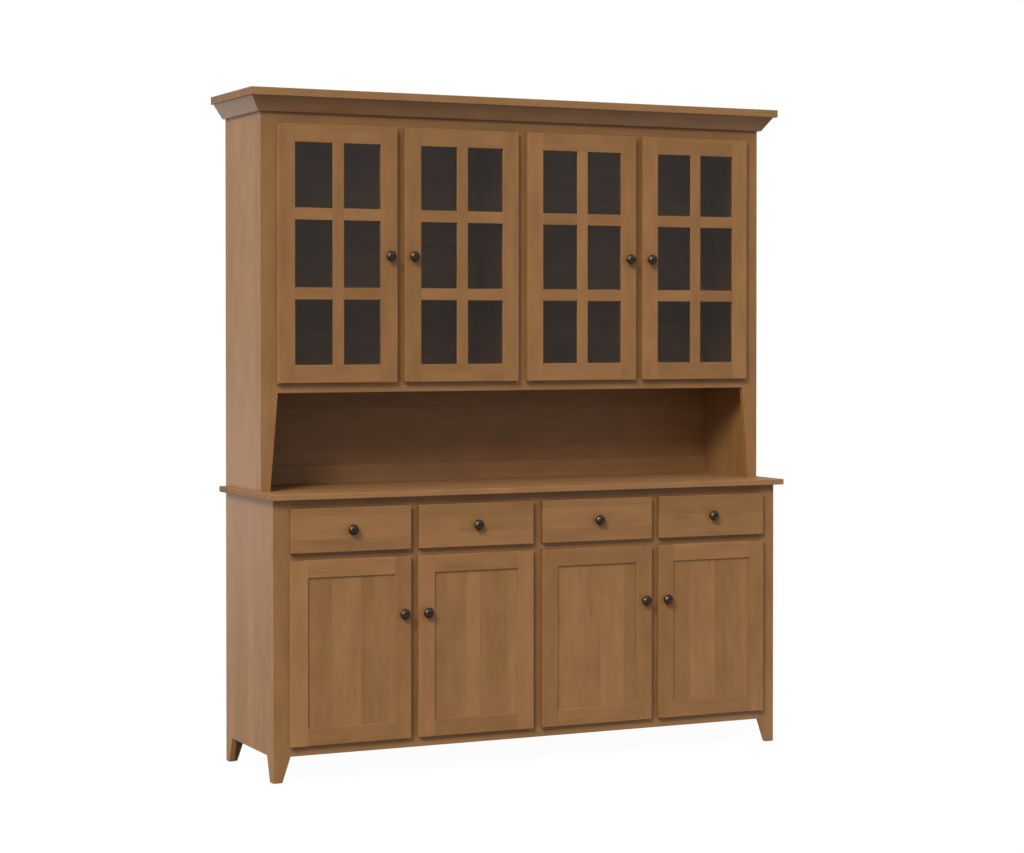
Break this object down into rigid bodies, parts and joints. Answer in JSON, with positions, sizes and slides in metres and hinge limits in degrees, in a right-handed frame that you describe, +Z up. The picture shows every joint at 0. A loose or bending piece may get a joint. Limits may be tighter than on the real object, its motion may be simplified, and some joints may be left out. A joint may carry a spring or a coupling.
{
  "type": "dresser with hutch",
  "caption": "Tall wooden dresser: a base of slab drawers over panelled doors on tapered feet, with a set-back hutch of glazed doors above an open niche and a sloped crown.",
  "frame": {"origin": "on the floor, midway between the sides and midway between the base knob tips and the flat back", "axes": "+X to the right as seen from the front, +Y to the back, +Z up; the doors face -Y"},
  "size_m": [1.929, 0.504, 2.186],
  "materials": {
    "stained_wood": "satin",
    "drawer_maple": "satin",
    "back_panel": "matte",
    "clear_glass": "gloss",
    "dark_bronze": "satin",
    "hinge_steel": "satin"
  },
  "bodies": {
    "case": {"base_side_left": "stained_wood", "base_side_right": "stained_wood", "base_frame_stiles": "stained_wood", "base_frame_rails": "stained_wood", "base_bottom": "stained_wood", "base_partitions": "stained_wood", "base_back": "back_panel", "base_shelves": "stained_wood", "rear_leg_blocks": "stained_wood", "drawer_runners": "drawer_maple", "countertop": "stained_wood", "hutch_side_left": "stained_wood", "hutch_side_right": "stained_wood", "hutch_frame_stiles": "stained_wood", "hutch_frame_rails": "stained_wood", "hutch_bottom": "stained_wood", "hutch_top": "stained_wood", "hutch_partition": "stained_wood", "hutch_back": "back_panel", "hutch_shelves": "stained_wood", "shelf_cleats": "stained_wood", "crown_moulding": "stained_wood", "crown_cap": "stained_wood", "door_hinges": "hinge_steel"},
    "hutch_door_1": {"hutch_door_1_frame": "stained_wood", "hutch_door_1_glass": "clear_glass", "hutch_door_1_knob": "dark_bronze"},
    "hutch_door_2": {"hutch_door_2_frame": "stained_wood", "hutch_door_2_glass": "clear_glass", "hutch_door_2_knob": "dark_bronze"},
    "hutch_door_3": {"hutch_door_3_frame": "stained_wood", "hutch_door_3_glass": "clear_glass", "hutch_door_3_knob": "dark_bronze"},
    "hutch_door_4": {"hutch_door_4_frame": "stained_wood", "hutch_door_4_glass": "clear_glass", "hutch_door_4_knob": "dark_bronze"},
    "base_door_1": {"base_door_1_frame": "stained_wood", "base_door_1_panel": "stained_wood", "base_door_1_knob": "dark_bronze"},
    "base_door_2": {"base_door_2_frame": "stained_wood", "base_door_2_panel": "stained_wood", "base_door_2_knob": "dark_bronze"},
    "base_door_3": {"base_door_3_frame": "stained_wood", "base_door_3_panel": "stained_wood", "base_door_3_knob": "dark_bronze"},
    "base_door_4": {"base_door_4_frame": "stained_wood", "base_door_4_panel": "stained_wood", "base_door_4_knob": "dark_bronze"},
    "drawer_1": {"drawer_1_front": "stained_wood", "drawer_1_box": "drawer_maple", "drawer_1_knob": "dark_bronze"},
    "drawer_2": {"drawer_2_front": "stained_wood", "drawer_2_box": "drawer_maple", "drawer_2_knob": "dark_bronze"},
    "drawer_3": {"drawer_3_front": "stained_wood", "drawer_3_box": "drawer_maple", "drawer_3_knob": "dark_bronze"},
    "drawer_4": {"drawer_4_front": "stained_wood", "drawer_4_box": "drawer_maple", "drawer_4_knob": "dark_bronze"}
  },
  "joints": [
    {"name": "hutch_door_1_hinge", "type": "hinge", "parent": "case", "child": "hutch_door_1", "pos_m": [-0.856, -0.106, 1.6655], "axis": [0, 0, -1], "range_deg": [0, 110]},
    {"name": "hutch_door_2_hinge", "type": "hinge", "parent": "case", "child": "hutch_door_2", "pos_m": [-0.0225, -0.106, 1.6655], "axis": [0, 0, 1], "range_deg": [0, 85]},
    {"name": "hutch_door_3_hinge", "type": "hinge", "parent": "case", "child": "hutch_door_3", "pos_m": [0.0225, -0.106, 1.6655], "axis": [0, 0, -1], "range_deg": [0, 85]},
    {"name": "hutch_door_4_hinge", "type": "hinge", "parent": "case", "child": "hutch_door_4", "pos_m": [0.856, -0.106, 1.6655], "axis": [0, 0, 1], "range_deg": [0, 110]},
    {"name": "base_door_1_hinge", "type": "hinge", "parent": "case", "child": "base_door_1", "pos_m": [-0.856, -0.219, 0.40575], "axis": [0, 0, -1], "range_deg": [0, 110]},
    {"name": "base_door_2_hinge", "type": "hinge", "parent": "case", "child": "base_door_2", "pos_m": [-0.0225, -0.219, 0.40575], "axis": [0, 0, 1], "range_deg": [0, 85]},
    {"name": "base_door_3_hinge", "type": "hinge", "parent": "case", "child": "base_door_3", "pos_m": [0.0225, -0.219, 0.40575], "axis": [0, 0, -1], "range_deg": [0, 85]},
    {"name": "base_door_4_hinge", "type": "hinge", "parent": "case", "child": "base_door_4", "pos_m": [0.856, -0.219, 0.40575], "axis": [0, 0, 1], "range_deg": [0, 110]},
    {"name": "drawer_1_slide", "type": "slide", "parent": "case", "child": "drawer_1", "axis": [0, -1, 0], "range_m": [0, 0.3]},
    {"name": "drawer_2_slide", "type": "slide", "parent": "case", "child": "drawer_2", "axis": [0, -1, 0], "range_m": [0, 0.3]},
    {"name": "drawer_3_slide", "type": "slide", "parent": "case", "child": "drawer_3", "axis": [0, -1, 0], "range_m": [0, 0.3]},
    {"name": "drawer_4_slide", "type": "slide", "parent": "case", "child": "drawer_4", "axis": [0, -1, 0], "range_m": [0, 0.3]}
  ]
}
